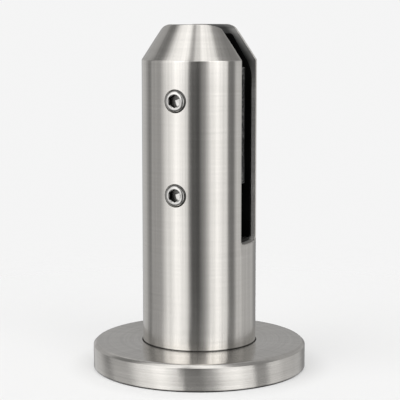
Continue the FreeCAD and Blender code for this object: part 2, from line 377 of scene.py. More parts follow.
@dataclass(frozen=True)
class MilledSteel(Mottled):
    """Stainless as the cutter leaves it inside the slot, with painted shade towards the top."""

    name: str = "milled_stainless"
    light: Colour = (0.62, 0.61, 0.59)
    dark: Colour = (0.44, 0.43, 0.415)
    roughness: float = 0.42
    unevenness: float = 0.22
    tones: Pair = (0.3, 0.7)
    fine: Grain = Grain((60.0, 2600.0, 2600.0), 2.0, 0.55)
    cloud: Grain = Grain((90.0,) * 3)
    shares: Pair = (0.65, 0.65)
    relief: Pair = (0.2, 0.00003)
    metal: float = 0.6
    # Painted shade in the slot's upper part: grey at the rim, near black deeper inside.
    painted_shade_rim: Colour = (0.215, 0.212, 0.205)
    painted_shade_deep: Colour = (0.025, 0.025, 0.024)
    painted_shade_inset: Pair = (0.0010, 0.0046)
    painted_shade_top: float = 0.1538
    painted_shade_rise: Pair = (0.121, 0.134)
    painted_shade_wander: float = 0.008
    cone_foot: float = 0.1358
    cone_taper: float = 0.645
    post_radius: float = 0.025

    def tint(self, graph: Graph, place: Signal, clean: Signal, cloud: Signal) -> Signal:
        """Paint shade on the upper part of the slot, the darker the further it lies from the rim.

        Args:
            graph: The material's graph.
            place: The point on the object.
            clean: The colour without the painted shade.
            cloud: Noise that lets the painted shade's edge wander.

        Returns:
            The colour with the painted shade.
        """
        x, y, z = graph.axes(place)
        above = graph.maths("MAXIMUM", z - self.cone_foot, 0.0)
        inset = self.post_radius - self.cone_taper * above - (x * x + y * y) ** 0.5
        inset = graph.maths("MINIMUM", inset, self.painted_shade_top - z)
        slot_shade = graph.blend(graph.fade(inset, *self.painted_shade_inset), self.painted_shade_rim, self.painted_shade_deep)
        height = z + (cloud - MIDDLE) * self.painted_shade_wander
        return graph.blend(graph.fade(height, *self.painted_shade_rise), clean, slot_shade)


@dataclass(frozen=True)
class ScrewSteel(Mottled):
    """Stainless of the set screws, the plain bright finish; darker copies of it paint shade on the threads
    and in the sockets.
    """

    name: str = "screw_stainless"
    light: Colour = (0.65, 0.637, 0.615)
    dark: Colour = (0.48, 0.47, 0.455)
    roughness: float = 0.17
    unevenness: float = 0.2
    tones: Pair = (0.32, 0.68)
    fine: Grain = Grain((1500.0, 5000.0, 1500.0), 2.0, 0.5)
    cloud: Grain = Grain((420.0,) * 3)
    shares: Pair = (0.4, 0.4)
    relief: Pair = (0.12, 0.00002)


@dataclass(frozen=True)
class CastPlateSteel(Mottled):
    """Dull plate with rough cut edges."""

    name: str = "cast_plate_steel"
    light: Colour = (0.18, 0.177, 0.171)
    dark: Colour = (0.004, 0.004, 0.0038)
    roughness: float = 0.55
    unevenness: float = 0.3
    tones: Pair = (0.45, 0.6)
    fine: Grain = Grain((900.0,) * 3, 4.0, 0.65)
    cloud: Grain = Grain((160.0,) * 3)
    shares: Pair = (0.6, 0.6)
    relief: Pair = (0.5, 0.00012)
    metal: float = 0.55


@dataclass(frozen=True)
class PadRubber(Mottled):
    """Matt black rubber sheet with a fine grain."""

    name: str = "pad_rubber"
    light: Colour = (0.004, 0.004, 0.0039)
    dark: Colour = (0.0012, 0.0012, 0.0012)
    roughness: float = 0.75
    unevenness: float = 0.25
    tones: Pair = (0.35, 0.7)
    fine: Grain = Grain((2600.0,) * 3)
    cloud: Grain = Grain((120.0,) * 3)
    shares: Pair = (0.3, 0.0)
    relief: Pair = (0.35, 0.00006)
    metal: float = 0.0
    specular: float = 0.03


# Darker copies of the screw steel that paint shade: on threads, in the tapped holes and on the socket's
# floor, and deeper on the socket's walls.
DULL_STEEL = ScrewSteel("screw_stainless_painted_shade", (0.20, 0.195, 0.185), (0.09, 0.088, 0.084), 0.4)
DEEP_STEEL = ScrewSteel("screw_stainless_deep_painted_shade", (0.05, 0.049, 0.047), (0.02, 0.02, 0.019), 0.5)
DUSTY_RUBBER = PadRubber("pad_rubber_dusty", (0.05, 0.05, 0.048), (0.022, 0.022, 0.021))
WORN_RUBBER = PadRubber("pad_rubber_worn", (0.06, 0.06, 0.058), (0.003, 0.003, 0.003))


@dataclass(frozen=True)
class FloorPaper(Finish):
    """Pale studio paper that fades into the backdrop, keeps the contact shadow and adds a painted shadow
    round the ring's foot.
    """

    towards: float
    name: str = "floor_paper"
    light: Colour = (0.90, 0.90, 0.895)
    fibre: Grain = Grain((700.0,) * 3)
    fibre_dark: float = 0.985
    fade_start: float = 0.10
    fade_end: float = 0.34
    thinness: float = 0.3
    mirrored_thinness: float = 0.76
    mirrored_end: float = 0.17
    mirrored_front: float = 0.045
    glow: float = 0.275
    shadow_rise: Pair = (0.048, 0.061)
    shadow_share: float = 0.34

    def shader(self, graph: Graph) -> Signal:
        """Shade the paper.

        Args:
            graph: The material's graph.

        Returns:
            The shader.
        """
        place = graph.place()
        x, y, _ = graph.axes(place)
        dark = tuple(c * self.fibre_dark for c in self.light)
        colour = graph.blend(graph.noise(place, self.fibre), dark, self.light)
        paper = graph.node("ShaderNodeBsdfDiffuse", None, {"Color": colour})
        clear = graph.node("ShaderNodeBsdfTransparent")
        seen = graph.node("ShaderNodeLightPath", output="Is Camera Ray")
        mirrored_ray = graph.node("ShaderNodeLightPath", output="Is Glossy Ray")
        radius = (x * x + y * y) ** 0.5
        # Painted shadow: the glow that the camera sees is dimmed close round the ring's foot.
        in_shadow = 1.0 - graph.fade(radius, *self.shadow_rise)
        lift = seen * (1.0 - self.shadow_share * in_shadow) + mirrored_ray
        glow = graph.node("ShaderNodeEmission", None, {0: graph.blend(lift, (0.0,) * 3, (self.glow,) * 3)})
        paper = graph.node("ShaderNodeAddShader", None, {0: paper, 1: glow})
        reach = radius * (1.0 + mirrored_ray * (self.fade_end / self.mirrored_end - 1.0))
        outwards = graph.fade(reach, self.fade_start, self.fade_end)
        ahead = x * math.sin(self.towards) - y * math.cos(self.towards)
        mirrored = 1.0 - (1.0 - self.mirrored_thinness) * graph.fade(ahead, 0.0, self.mirrored_front)
        thin = self.thinness + mirrored_ray * (mirrored - self.thinness)
        share = thin + outwards * (1.0 - thin)
        return graph.node("ShaderNodeMixShader", None, {0: share, 1: paper, 2: clear})


class MeshMaker:
    """Collects faces in millimetres and welds them into one object in metres."""

    def __init__(self) -> None:
        """Start with no faces."""
        self.bm = bmesh.new()

    def face(self, points: Sequence[Point], paint: Paint = Paint.TURNED) -> None:
        """Add one flat face, with its corners in order."""
        made = self.bm.faces.new([self.bm.verts.new(p) for p in points])
        made.material_index = paint.value

    def grid(self, rows: Sequence[Sequence[Point]], paint: Paint = Paint.TURNED) -> None:
        """Skin neighbouring rows of points with four-sided faces.

        Args:
            rows: Rows that all have the same number of points.
            paint: The finish that the faces take.
        """
        made = [[self.bm.verts.new(p) for p in row] for row in rows]
        for low, high in zip(made, made[1:]):
            for i in range(len(low) - 1):
                quad = self.bm.faces.new((low[i], low[i + 1], high[i + 1], high[i]))
                quad.material_index = paint.value

    def solid(self, rows: Sequence[Sequence[Point]], paint: Paint = Paint.TURNED) -> None:
        """Skin rows that each end where they start, and close both ends.

        Args:
            rows: Rows that all have the same number of points.
            paint: The finish that the faces take.
        """
        self.grid(rows, paint)
        self.face(rows[0][:-1], paint)
        self.face(rows[-1][:-1], paint)

    def bevel(self, width: float) -> None:
        """Round every edge that turns sharply.

        Args:
            width: How far the rounding reaches, in millimetres.
        """
        bmesh.ops.remove_doubles(self.bm, verts=self.bm.verts, dist=WELD)
        bmesh.ops.recalc_face_normals(self.bm, faces=self.bm.faces)
        sharp = [e for e in self.bm.edges if e.is_manifold and e.calc_face_angle() > SHARP]
        bmesh.ops.bevel(self.bm, geom=sharp, offset=width, segments=EDGE_STEPS, profile=0.5, affect="EDGES")

    def object(self, name: str, finishes: Finishes) -> Object:
        """Weld what was collected and put it into the scene.

        Args:
            name: The object's name.
            finishes: Its materials, in the order of the faces' paints.

        Returns:
            The object, in metres.
        """
        bmesh.ops.remove_doubles(self.bm, verts=self.bm.verts, dist=WELD)
        bmesh.ops.dissolve_degenerate(self.bm, edges=self.bm.edges, dist=WELD / 10)
        bmesh.ops.recalc_face_normals(self.bm, faces=self.bm.faces)
        bmesh.ops.scale(self.bm, vec=(MM, MM, MM), verts=self.bm.verts)
        mesh = bpy.data.meshes.new(name)
        self.bm.to_mesh(mesh)
        self.bm.free()
        for finish in finishes:
            mesh.materials.append(finish)
        made = bpy.data.objects.new(name, mesh)
        bpy.context.scene.collection.objects.link(made)
        return made


def carve(target: Object, tool: Object, way: Carving) -> None:
    """Work a solid with another one, which is used up.

    Args:
        target: The solid that stays.
        tool: The solid that shapes it.
        way: Whether the tool's room is cut away or kept.
    """
    modifier = target.modifiers.new("carve", "BOOLEAN")
    modifier.operation = way.value
    modifier.solver = "EXACT"
    modifier.object = tool
    worked = target.evaluated_get(bpy.context.evaluated_depsgraph_get())
    mesh = bpy.data.meshes.new_from_object(worked)
    target.modifiers.clear()
    if not mesh.polygons:
        raise ValueError(f"{target.name} was lost while it was carved with {tool.name}")
    before, spent = target.data, tool.data
    target.data = mesh
    mesh.name = target.name
    bpy.data.objects.remove(tool)
    bpy.data.meshes.remove(before)
    bpy.data.meshes.remove(spent)


def hand_over(piece: Object, node: str, body: str, crease: float = 28.0) -> None:
    """Shade a piece, let it stand for its node and move with its body.

    Args:
        piece: The finished object.
        node: The node that it stands for.
        body: The body that it rides on.
        crease: The angle in degrees from which an edge stays sharp.
    """
    piece.data.shade_smooth()
    piece.data.set_sharp_from_angle(angle=math.radians(crease))
    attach(piece, body)
    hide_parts(node)
    LOG.info("%s: %d faces on %s", piece.name, len(piece.data.polygons), body)


def spread(start: float, end: float, count: int) -> list[float]:
    """Give evenly spaced values with a number of steps between them."""
    return [start + (end - start) * i / count for i in range(count + 1)]


def rounded(corners: Sequence[Point], steps: int = 4) -> list[Pair]:
    """Round the corners of a closed outline.

    Args:
        corners: Each corner's two coordinates and its rounding radius.
        steps: How many chords go round a corner.

    Returns:
        The outline's points.
    """
    outline: list[Pair] = []
    for i, (u, v, radius) in enumerate(corners):
        here = Vector((u, v))
        back = (Vector(corners[i - 1][:2]) - here).normalized()
        ahead = (Vector(corners[(i + 1) % len(corners)][:2]) - here).normalized()
        half = back.angle(ahead) / 2
        reach = radius / math.tan(half)
        centre = here + (back + ahead).normalized() * (radius / math.sin(half))
        first = (here + back * reach - centre).normalized()
        last = (here + ahead * reach - centre).normalized()
        outline += [tuple(centre + first.slerp(last, k / steps) * radius) for k in range(steps + 1)]
    return outline


def mirrored(half: Sequence[Sequence[float]]) -> list[tuple[float, ...]]:
    """Close a half outline, from the foot to the top on the right, with its mirror image."""
    return [*half, *[(-x, *rest) for x, *rest in reversed(half)]]


def upright(radius: float, angle: float, height: float) -> Point:
    """Give a point round the upright axis."""
    return radius * math.cos(angle), radius * math.sin(angle), height


def across(radius: float, angle: float, along: float, height: float) -> Point:
    """Give a point round an axis that runs along Y at a height."""
    return radius * math.sin(angle), along, height + radius * math.cos(angle)


def lathed(outline: Sequence[Pair], segments: int, centre: Pair = (0.0, 0.0)) -> list[list[Point]]:
    """Turn an outline round an upright axis.

    Args:
        outline: Points of radius and height.
        segments: How many faces go round.
        centre: Where the axis stands.

    Returns:
        A row of points for each point of the outline, back to the first.
    """
    angles = spread(0.0, FULL_TURN, segments)
    rows = [[upright(radius, a, height) for a in angles] for radius, height in outline]
    return [[(x + centre[0], y + centre[1], z) for x, y, z in row] for row in rows]


@dataclass(frozen=True)
class Thread:
    """A right-hand metric thread on an axis that runs along Y, in millimetres."""

    crest: float
    root: float
    pitch: float = 1.5
    crest_share: float = 0.13
    flank_share: float = 0.30
    phase: float = 0.0
    columns: int = 72

    def rod(self, height: float, ends: Pair, finishes: Finishes, crest: Paint, flank: Paint) -> Object:
        """Build a threaded rod whose ends are closed.

        Args:
            height: The height of its axis.
            ends: Where its first turn starts along Y and its last one ends.
            finishes: Its materials.
            crest: The finish of the thread's crest.
            flank: The finish of its flanks and root.

        Returns:
            The rod.
        """
        c, f = self.crest_share, self.flank_share
        steps = [(0.0, self.crest), (c, self.crest), (c + f, self.root), (1.0 - f, self.root)]
        turns = math.ceil((ends[1] - ends[0]) / self.pitch)
        profile = [(turn + t, r) for turn in range(turns) for t, r in steps]
        profile.append((float(turns), self.crest))
        rows = []
        for turn, radius in profile:
            start = ends[0] + self.pitch * (turn + self.phase)
            rows.append([across(radius, a, start + self.pitch * a / FULL_TURN, height)
                         for a in spread(0.0, FULL_TURN, self.columns)])
        maker = MeshMaker()
        for i, strip in enumerate(zip(rows, rows[1:])):
            maker.grid(strip, flank if i % len(steps) else crest)
        lap = len(steps) + 1
        for rim in (rows[0] + [row[0] for row in reversed(rows[1:lap])],
                    rows[-1] + [row[-1] for row in reversed(rows[-lap:-1])]):
            ring = [p for i, p in enumerate(rim) if p != rim[i - 1]]
            middle = sum(p[1] for p in (rim[0], rim[self.columns])) / 2
            for i, point in enumerate(ring):
                after = ring[(i + 1) % len(ring)]
                if (Vector(point) - Vector(after)).length > WELD:
                    maker.face([point, after, (0.0, middle, height)], flank)
        return maker.object("threaded_rod", finishes)


@dataclass
class SpigotPost:
    """The slotted post with its coned top and its flange, in millimetres."""

    finishes: Finishes  # the skin's turned steel, the slot's milled one and the darker copy of the screw steel that paints shade in the tapped holes
    radius: float = 25.0
    height: float = 151.0
    cone_foot: float = 135.8
    cone_row: float = 138.0
    cone_steps: int = 5
    top_radius: float = 15.2
    crease: float = 0.22
    crease_steps: int = 4
    rim: float = 0.25
    rim_steps: int = 5
    slot_half: float = 8.0
    slot_floor: float = 57.0
    floor_steps: int = 6
    floor_corner: float = 1.5
    corner_steps: int = 8
    jaw_heights: Sequence[float] = (70.0, 88.0, 110.0, 128.0)
    lead_half: float = 12.0
    lead_foot: float = 148.8
    lead_step: float = 0.25
    lead_steps: int = 7
    lead_power: float = 1.8
    edge_round: float = 0.4
    edge_steps: int = 4
    jaw_columns: int = 108
    skirt_top: float = 52.0
    skirt_row: float = 30.0
    flange_radius: float = 44.0
    flange_top: float = 8.0
    flange_root: float = 1.0
    root_steps: int = 6
    flange_row: float = 29.0
    flange_edge: Sequence[Pair] = ((1.15, 0.0), (0.93, 0.06), (0.06, 0.93), (0.0, 1.15))
    flange_foot: float = 0.3
    anchor_circle: float = 34.5
    anchor_hole: float = 4.5
    anchor_sink: float = 8.2
    anchor_proud: float = 0.15
    anchor_turns: Sequence[float] = (45.0, 135.0, 225.0, 315.0)
    hole_radius: float = 4.95
    hole_chamfer: float = 0.08
    drill_radius: float = 4.22
    drill_cone: float = 0.8
    drill_end: float = -7.0
    thread_start: float = -22.6
    tap: Thread = Thread(crest=4.97, root=4.05, crest_share=0.17)
    tap_ends: Pair = (-24.3, -6.0)

    def skin(self, z: float) -> float:
        """Give the turned skin's radius.

        Args:
            z: The height.

        Returns:
            The radius, with the crease at the cone's foot and the rim at its top rounded.
        """
        taper = (self.radius - self.top_radius) / (self.height - self.cone_foot)
        past = z - self.cone_foot
        if past <= -self.crease:
            return self.radius
        if past < self.crease:
            return self.radius - taper * (past + self.crease) ** 2 / (4 * self.crease)
        share = max(0.0, (z - self.height + self.rim) / self.rim)
        return self.radius - taper * past - self.rim * (1.0 - math.sqrt(max(0.0, 1.0 - share * share)))

    def slot_side(self, z: float) -> float:
        """Give the slot's half width at a height above its rounded corners."""
        share = max(0.0, z - self.lead_foot) / (self.height - self.lead_foot)
        return self.slot_half + (self.lead_half - self.slot_half) * share ** self.lead_power

    def stops(self) -> tuple[list[Stop], int]:
        """List the places along half of the slot's edge, from the middle of its floor to the top.

        Returns:
            Half width, height and the two parts of the normal into the steel, and where the jaw starts.
        """
        corner = self.floor_corner
        flat = self.slot_half - corner
        found = [(y, self.slot_floor, 0.0, -1.0) for y in spread(0.0, flat, self.floor_steps)[:-1]]
        for angle in spread(-math.pi / 2, 0.0, self.corner_steps):
            c, s = math.cos(angle), math.sin(angle)
            found.append((flat + corner * c, self.slot_floor + corner * (1.0 + s), c, s))
        jaw = len(found) - 1
        heights = [*self.jaw_heights]
        heights += spread(self.cone_foot - self.crease, self.cone_foot + self.crease, self.crease_steps)
        heights += spread(self.cone_row, self.lead_foot, self.cone_steps)
        heights += spread(self.lead_foot + self.lead_step, self.height - self.rim, self.lead_steps)
        quarter = spread(0.0, math.pi / 2, self.rim_steps)[1:]
        heights += [self.height - self.rim * (1.0 - math.sin(t)) for t in quarter]
        found += [(self.slot_side(z), z, 1.0, 0.0) for z in heights]
        return found, jaw

    def rounding(self, stop: Stop, way: int, side: int) -> list[Point]:
        """Roll a ball along the slot's edge and give its arc from the slot to the skin.

        Args:
            stop: A place along the edge.
            way: The sign of X.
            side: The sign of Y.

        Returns:
            The arc's points.
        """
        y, z, to_side, to_top = stop
        ball = self.edge_round
        cy, cz = y + ball * to_side, z + ball * to_top
        reach = self.skin(cz) - ball
        cx = math.sqrt(reach * reach - cy * cy)
        first = Vector((0.0, -to_side, -to_top))
        last = Vector((cx, cy, 0.0)) / reach
        arc = []
        for k in range(self.edge_steps + 1):
            arm = first.slerp(last, k / self.edge_steps) * ball
            arc.append((way * (cx + arm.x), side * (cy + arm.y), cz + arm.z))
        return arc

    def blank(self) -> Object:
        """Build the post before its holes are made.

        Returns:
            The closed solid.
        """
        maker = MeshMaker()
        stops, jaw = self.stops()
        arcs = {(w, s): [self.rounding(stop, w, s) for stop in stops] for w in (1, -1) for s in (1, -1)}
        skins = {corner: [arc[-1] for arc in found] for corner, found in arcs.items()}
        for found in arcs.values():
            maker.grid(found)
        for side in (1, -1):
            right, left = arcs[1, side], arcs[-1, side]
            maker.grid([(r[0], l[0]) for r, l in zip(right, left)], Paint.MILLED)
            self._jaw(maker, skins[1, side][jaw:], side, left[-1], right[-1])
        around: list[float] = []
        for way in (1, -1):
            first, last = skins[way, -way][:jaw + 1], skins[way, way][:jaw + 1]
            sill = [*reversed(first), *last[1:]]
            turns = [math.atan2(y, x) for x, y, _ in sill]
            maker.grid([sill, [upright(self.radius, t, self.skirt_top) for t in turns]])
            around += [*turns, *spread(turns[-1], way * math.pi - turns[-1], self.jaw_columns)[1:-1]]
        self._skirt(maker, [*around, around[0]])
        return maker.object("spigot_post_skin", self.finishes)

    def _jaw(self, maker: MeshMaker, edge: Sequence[Point], side: int, left: Sequence[Point],
             right: Sequence[Point]) -> None:
        """Skin one jaw down to the skirt and close its top.

        Args:
            maker: What collects the faces.
            edge: The skin's edge at the right mouth, from the floor to the top.
            side: The sign of Y.
            left: The rounding at the top of the left mouth.
            right: The rounding at the top of the right mouth.
        """
        rows = []
        for x, y, z in [(*edge[0][:2], self.skirt_top), *edge]:
            start = math.atan2(abs(y), x)
            turns = spread(start, math.pi - start, self.jaw_columns)
            rows.append([upright(self.skin(z), side * t, z) for t in turns])
        maker.grid(rows)
        maker.face([*rows[-1], *reversed(left[:-1]), *right[:-1]])

    def _skirt(self, maker: MeshMaker, around: Sequence[float]) -> None:
        """Skin the part below the slot and the flange.

        Args:
            maker: What collects the faces.
            around: The angles of the columns, back to the first.
        """
        root, top, out, foot = self.flange_root, self.flange_top, self.flange_radius, self.flange_foot
        outline = [(self.radius, z) for z in (self.skirt_top, self.skirt_row, top + root)]
        for a in spread(0.0, math.pi / 2, self.root_steps)[1:]:
            outline.append((self.radius + root * (1 - math.cos(a)), top + root * (1 - math.sin(a))))
        outline.append((self.flange_row, top))
        outline += [(out - inset, top - drop) for inset, drop in self.flange_edge]
        outline += [(out, foot), (out - foot, 0.0)]
        rows = [[upright(r, a, z) for a in around] for r, z in outline]
        maker.grid(rows)
        maker.face(rows[-1][:-1])

    def hole_tool(self, height: float) -> Object:
        """Build the drill that opens one screw hole, with a chamfer that follows the round skin.

        Args:
            height: The height of the screw's axis.

        Returns:
            The closed tool.
        """
        maker = MeshMaker()
        angles = spread(0.0, FULL_TURN, FINE_CIRCLE)
        hole, chamfer = self.hole_radius, self.hole_chamfer
        drill, start = self.drill_radius, self.thread_start
        rows = []
        for radius, beyond in ((hole + chamfer + CLEAR, CLEAR), (hole, -chamfer)):
            row = [across(radius, a, -beyond, height) for a in angles]
            rows.append([(x, y - math.sqrt(self.radius ** 2 - min(abs(x), hole) ** 2), z) for x, y, z in row])
        for radius, along in ((hole, start - self.drill_cone), (drill, start), (drill, self.drill_end)):
            rows.append([across(radius, a, along, height) for a in angles])
        maker.grid(rows[:2])
        maker.grid(rows[1:], Paint.TAPPED)
        maker.face(rows[0][:-1])
        maker.face(rows[-1][:-1], Paint.TAPPED)
        return maker.object("hole_tool", self.finishes)

    def anchor_tool(self, turn: float) -> Object:
        """Build the drill of one countersunk anchor hole.

        Args:
            turn: Where the hole stands round the post.

        Returns:
            The closed tool.
        """
        maker = MeshMaker()
        hole, sink, top, proud = self.anchor_hole, self.anchor_sink, self.flange_top, self.anchor_proud
        outline = [(hole, -CLEAR), (hole, top - sink + hole), (sink + proud, top + proud),
                   (sink + proud, top + 2 * CLEAR)]
        centre = upright(self.anchor_circle, turn, 0.0)[:2]
        maker.solid(lathed(outline, CIRCLE, centre), Paint.MILLED)
        return maker.object("anchor_tool", self.finishes)

    def build(self) -> None:
        """Build the post with its tapped and its anchor holes."""
        post = self.blank()
        # The tapped holes take the darker steel, as painted shade inside them.
        for height in SCREW_HEIGHTS:
            carve(post, self.hole_tool(height), Carving.CUT)
            tap = self.tap.rod(height, self.tap_ends, self.finishes, Paint.TAPPED, Paint.TAPPED)
            carve(post, tap, Carving.CUT)
        for turn in self.anchor_turns:
            carve(post, self.anchor_tool(math.radians(turn)), Carving.CUT)
        hand_over(post, "spigot_post", "post")


@dataclass
class CoverRing:
    """The hollow turned ring over the flange, in millimetres."""

    outer: float = 47.0
    inner: float = 45.0
    bore: float = 25.3
    top: float = 12.0
    roof: float = 10.0
    fall: float = 0.3
    chamfer: float = 1.4
    brow: float = 1.5
    foot: float = 0.6
    edge: float = 0.12
    bore_edge: float = 0.264
    roof_edge: float = 0.36
    segments: int = 288

    def build(self, turned: Material) -> None:
        """Turn the ring.

        Args:
            turned: Its finish.
        """
        e = self.edge
        brink = self.top - self.fall
        outline = rounded([
            (self.inner, 0.0, e), (self.outer - self.foot, 0.0, e), (self.outer, self.foot, e),
            (self.outer, brink - self.chamfer, e), (self.outer - self.chamfer, brink, self.brow),
            (self.bore, self.top, self.bore_edge), (self.bore, self.roof, e),
            (self.inner, self.roof, self.roof_edge),
        ])
        maker = MeshMaker()
        maker.grid(lathed([*outline, outline[0]], self.segments))
        ring = maker.object("base_cover_ring_skin", (turned,))
        hand_over(ring, "base_cover_ring", "cover_ring")


@dataclass
class ClampScrew:
    """A set screw with a hexagon socket on an axis along Y, in millimetres."""

    node: str
    body: str
    height: float
    finishes: Finishes  # the plain bright steel, a darker copy that paints shade on the threads and the socket's floor, and a deeper one that paints shade on the socket's walls
    face: float = -25.7
    tip: float = -6.3
    flat_radius: float = 3.05
    crown: float = 1.9
    crown_steps: int = 10
    tip_radius: float = 3.43
    tip_edge: Pair = (0.1, 0.04)
    blank_radius: float = 5.2
    socket: float = 2.887
    socket_sides: int = 6
    socket_depth: float = 3.0
    # The socket floor's low point lies off centre, which moves the edge of the painted highlight on its
    # floor; the listed facets take that painted highlight.
    floor_low: Point = (-0.9, 0.05, 0.2)
    floor_highlight: tuple[int, int] = (1, 2)
    lead: float = 0.1
    lead_angle: float = 30.0
    lead_core: float = 0.2
    thread: Thread = Thread(crest=4.93, root=4.09, phase=-0.25)
    thread_ends: Pair = (-28.8, -4.0)

    def _turned(self, outline: Sequence[Pair], name: str) -> Object:
        """Turn an outline of radius and place along Y round the screw's axis.

        Args:
            outline: Points whose first and last radius are not zero.
            name: The object's name.

        Returns:
            The closed solid.
        """
        maker = MeshMaker()
        angles = spread(0.0, FULL_TURN, FINE_CIRCLE)
        maker.solid([[across(r, a, y, self.height) for a in angles] for r, y in outline])
        return maker.object(name, self.finishes)

    def _bit(self) -> Object:
        """Build the broach of the socket, whose walls take deep painted shade and whose floor takes a painted
        highlight at the lower right and painted shade elsewhere.

        Returns:
            The closed tool.
        """
        maker = MeshMaker()
        floor = self.face + self.socket_depth
        angles = spread(0.0, FULL_TURN, self.socket_sides)
        ends = (self.face - 2 * CLEAR, floor)
        rows = [[across(self.socket, a, y, self.height) for a in angles] for y in ends]
        maker.grid(rows, Paint.DEEP)
        maker.face(rows[0][:-1], Paint.DEEP)
        low = tuple(Vector(self.floor_low) + Vector((0.0, floor, self.height)))
        for i, corners in enumerate(zip(rows[1], rows[1][1:])):
            maker.face([*corners, low], Paint.BRIGHT if i in self.floor_highlight else Paint.DULL)
        return maker.object("socket_tool", self.finishes)

    def build(self) -> None:
        """Turn, thread and broach the screw."""
        wide, face, tip, end = self.blank_radius, self.face, self.tip, self.tip_radius
        bevel, edge = self.tip_edge
        blank = []
        for t in spread(0.0, math.pi / 4, self.crown_steps):
            blank.append((self.flat_radius + self.crown * math.sin(t), face + self.crown * (1 - math.cos(t))))
        blank.append((wide, blank[-1][1] + wide - blank[-1][0]))
        blank += [(wide, tip - wide + end - edge), (end, tip - edge), (end - bevel, tip)]
        screw = self._turned(blank, f"{self.node}_steel")
        # Painted shade on the thread's flanks and roots; its crests keep the plain steel.
        rod = self.thread.rod(self.height, self.thread_ends, self.finishes, Paint.BRIGHT, Paint.DULL)
        carve(screw, rod, Carving.KEEP)
        carve(screw, self._bit(), Carving.CUT)
        rim, core = self.socket + self.lead, self.lead_core
        slope = math.tan(math.radians(self.lead_angle))
        cone = [(rim + CLEAR / slope, face - CLEAR), (core, face + (rim - core) * slope)]
        carve(screw, self._turned(cone, "lead_tool"), Carving.CUT)
        hand_over(screw, self.node, self.body)


@dataclass
class FlatSheet:
    """A plate or pad cut to an outline in the plane of the slot, in millimetres."""

    node: str
    body: str
    slot: str
    outline: Sequence[Pair]
    front: float
    back: float
    edge: float
    burr: float = 0.0
    form: str = "sheet"
    burr_step: float = 0.55
    burr_rows: int = 5
    burr_waves: Pair = (0.9, 2.3)

    def cut(self, finish: Material) -> Object:
        """Cut the sheet and soften its edges.

        Args:
            finish: Its material.

        Returns:
            The closed solid.
        """
        maker = MeshMaker()
        if self.burr:
            maker.solid([self._torn(y) for y in spread(self.front, self.back, self.burr_rows)])
        else:
            loop = [*self.outline, self.outline[0]]
            maker.solid([[(x, y, z) for x, z in loop] for y in (self.front, self.back)])
            maker.bevel(self.edge)
        return maker.object(f"{self.node}_{self.form}", (finish,))

    def _torn(self, y: float) -> list[Point]:
        """Let the outline wander inwards as a rough saw or casting leaves it.

        Args:
            y: Where the row lies through the sheet.

        Returns:
            The row's points, back to the first.
        """
        inside = min(1.0, min(abs(y - self.front), abs(y - self.back)) / self.edge)
        row = []
        for (x0, z0), (x1, z1) in zip(self.outline, [*self.outline[1:], self.outline[0]]):
            way = Vector((x1 - x0, z1 - z0))
            inwards = Vector((-way.y, way.x)).normalized()
            count = max(1, round(way.length / self.burr_step))
            row.append((x0, y, z0))
            for i in range(1, count):
                x, z = Vector((x0, z0)) + way * (i / count)
                depth = 0.5 + sum(noise.noise(Vector((x, y, z)) * wave) for wave in self.burr_waves) / 2
                depth = self.burr * max(0.0, min(1.0, depth)) + (1.0 - inside) * self.edge
                row.append((x + inwards.x * depth, y, z + inwards.y * depth))
        return [*row, row[0]]

    def dress(self, sheet: Object) -> None:
        """Let the sheet stand for its node."""
        hand_over(sheet, self.node, self.body)

    def build(self, finish: Material) -> None:
        """Cut and dress the sheet."""
        self.dress(self.cut(finish))


